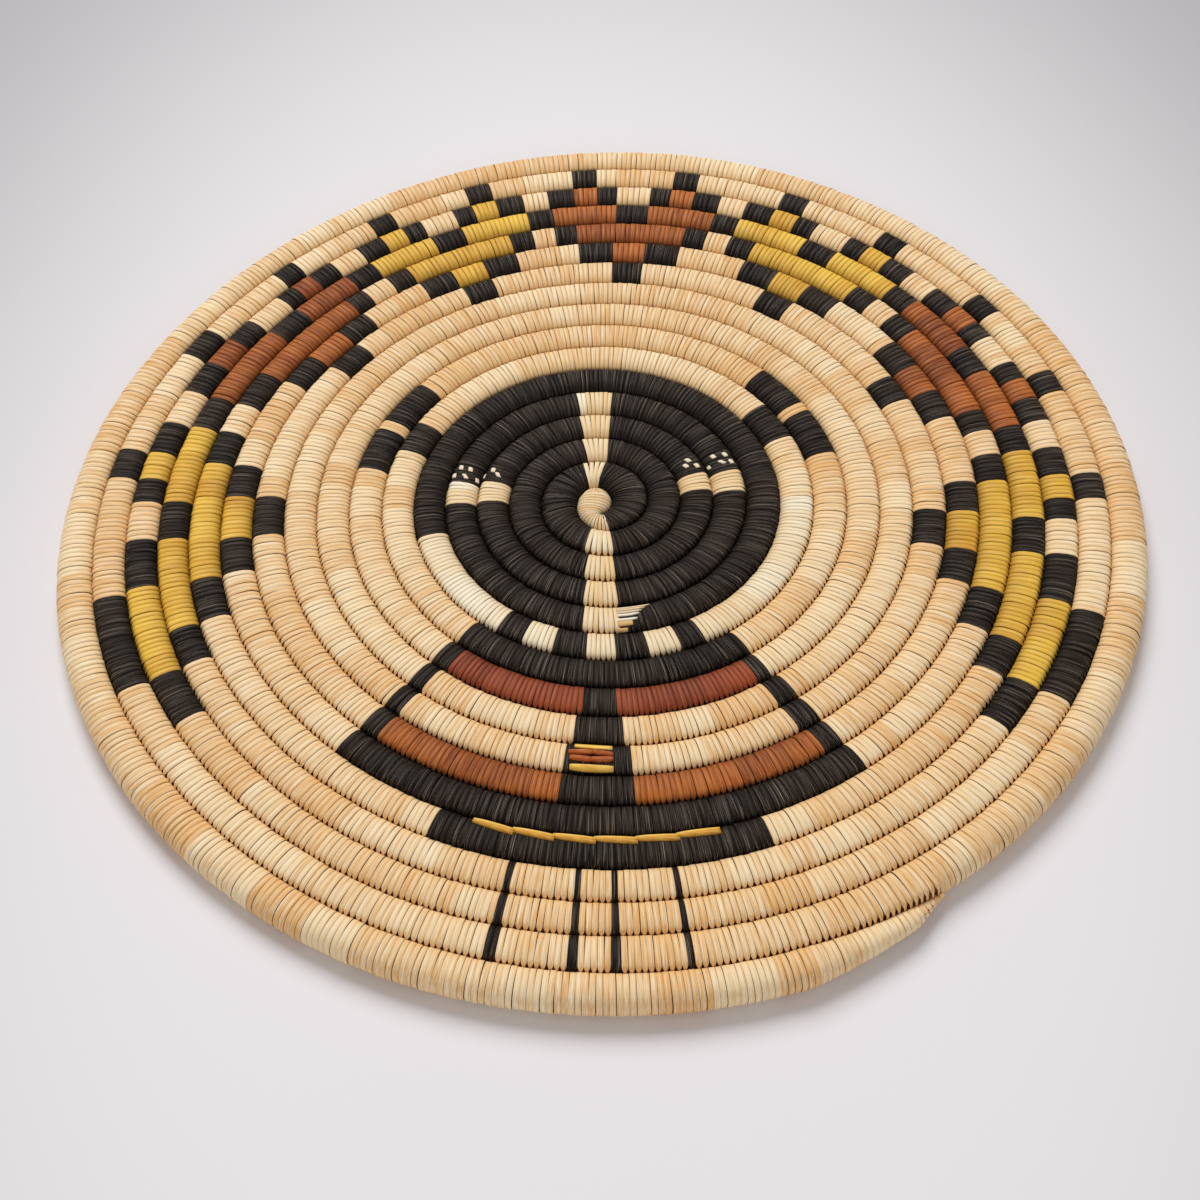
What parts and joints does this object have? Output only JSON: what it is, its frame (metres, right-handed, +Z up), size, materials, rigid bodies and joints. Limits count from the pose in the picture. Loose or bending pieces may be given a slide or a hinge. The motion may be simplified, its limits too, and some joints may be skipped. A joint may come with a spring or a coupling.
{
  "type": "coiled plaque",
  "caption": "Flat round coiled basketry plaque: a spiral grass bundle sewn with natural, black, rust, red and yellow leaf splints, with a banded design around a central knot.",
  "frame": {"origin": "middle of the bounding box, on the flat underside that the plaque lies on", "axes": "+Z up out of the decorated face, +Y from the front of the design (the tail and the belt) to its top, +X to the right as seen from the front"},
  "size_m": [0.3656, 0.374, 0.0109],
  "materials": {
    "natural_splint": "satin plant fibre",
    "black_splint": "satin dyed plant fibre",
    "rust_splint": "satin dyed plant fibre",
    "red_splint": "satin dyed plant fibre",
    "yellow_splint": "satin dyed plant fibre",
    "grass_bundle": "matt dry grass"
  },
  "bodies": {
    "root": {"belt_stitch_1": "yellow_splint", "belt_stitch_2": "yellow_splint", "belt_stitch_3": "yellow_splint", "belt_stitch_4": "yellow_splint", "belt_stitch_5": "yellow_splint", "belt_stitch_6": "yellow_splint", "cap_left": "black_splint", "cap_right": "black_splint", "collar": "natural_splint", "field_10": "natural_splint", "field_11": "natural_splint", "field_12": "natural_splint", "field_13": "natural_splint", "field_14": "natural_splint", "field_15": "natural_splint", "field_16": "natural_splint", "field_6": "natural_splint", "field_7": "natural_splint", "field_8": "natural_splint", "field_9": "natural_splint", "foundation_bundle": "grass_bundle", "front_10": "rust_splint", "front_11": "black_splint", "front_12": "black_splint", "front_13": "natural_splint", "front_14": "natural_splint", "front_15": "natural_splint", "front_16": "natural_splint", "front_6": "black_splint", "front_7": "red_splint", "front_8": "natural_splint", "front_9": "natural_splint", "left_black_1": "black_splint", "left_black_2": "black_splint", "left_black_3_after_block": "black_splint", "left_black_3_before_block": "black_splint", "left_black_4_after_block": "black_splint", "left_black_4_before_block": "black_splint", "left_block_3": "natural_splint", "left_block_4": "natural_splint", "lower_stripe_1": "natural_splint", "lower_stripe_2": "natural_splint", "lower_stripe_3": "natural_splint", "lower_stripe_4": "natural_splint", "right_black_1": "black_splint", "right_black_2": "black_splint", "right_black_3_after_block": "black_splint", "right_black_3_before_block": "black_splint", "right_black_4_after_block": "black_splint", "right_black_4_before_block": "black_splint", "right_block_3": "natural_splint", "right_block_4": "natural_splint", "rim_before_tail": "natural_splint", "rim_tail": "natural_splint", "start_knot": "natural_splint", "start_wraps": "natural_splint", "upper_stripe_1": "natural_splint", "upper_stripe_2": "natural_splint", "upper_stripe_3": "natural_splint", "upper_stripe_4": "natural_splint"}
  },
  "joints": []
}
